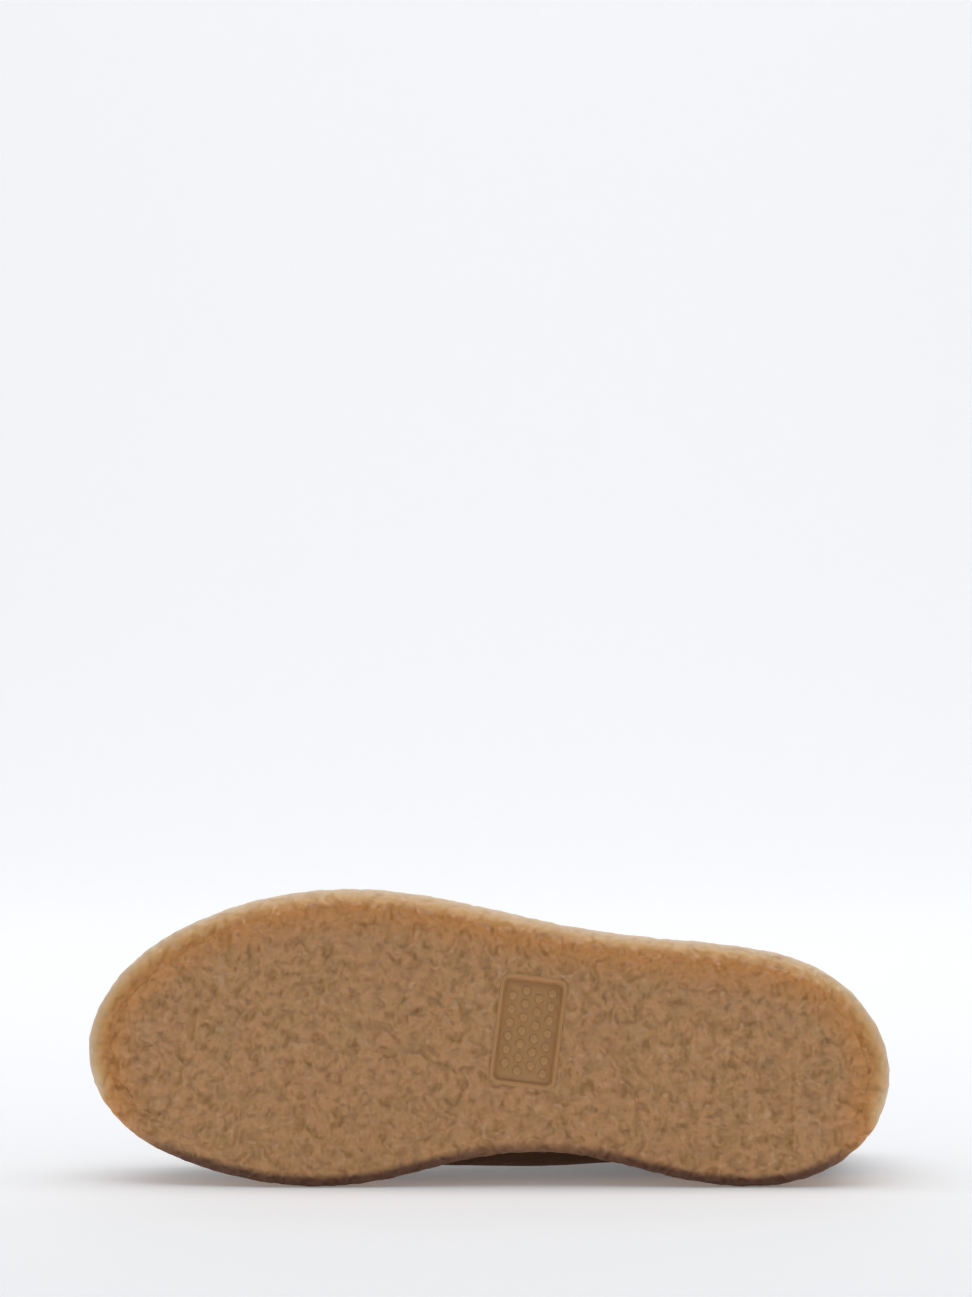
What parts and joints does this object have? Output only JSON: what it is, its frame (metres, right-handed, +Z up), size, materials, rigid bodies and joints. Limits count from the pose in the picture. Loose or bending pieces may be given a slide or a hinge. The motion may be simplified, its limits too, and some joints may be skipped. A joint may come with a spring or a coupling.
{
  "type": "suede sneaker",
  "caption": "Left low lace-up suede sneaker on a crinkled crepe rubber sole, lying on its inner side with the tread facing out",
  "frame": {"origin": "on the floor under the middle of the bounding box of the shoe as it lies", "axes": "+X towards the heel, along the line in which the sole touches the floor; -X towards the toe; -Y is the side the tread faces; +Z up"},
  "size_m": [0.276, 0.1182, 0.1009],
  "materials": {
    "crepe_rubber": "satin",
    "suede": "suede nap",
    "suede_trim": "suede nap",
    "lining": "matte",
    "lace_cotton": "woven",
    "eyelet_metal": "dark brushed"
  },
  "bodies": {
    "root": {"crepe_sole": "crepe_rubber", "upper": "suede", "insole": "lining", "tongue": "suede", "eyestay": "suede_trim", "heel_counter": "suede_trim", "eyelet_inner_1": "eyelet_metal", "eyelet_inner_2": "eyelet_metal", "eyelet_inner_3": "eyelet_metal", "eyelet_inner_4": "eyelet_metal", "eyelet_inner_5": "eyelet_metal", "eyelet_inner_6": "eyelet_metal", "eyelet_outer_1": "eyelet_metal", "eyelet_outer_2": "eyelet_metal", "eyelet_outer_3": "eyelet_metal", "eyelet_outer_4": "eyelet_metal", "eyelet_outer_5": "eyelet_metal", "eyelet_outer_6": "eyelet_metal", "lace_bar_1": "lace_cotton", "lace_bar_2": "lace_cotton", "lace_bar_3": "lace_cotton", "lace_bar_4": "lace_cotton", "lace_bar_5": "lace_cotton", "lace_bar_6": "lace_cotton"}
  },
  "joints": []
}
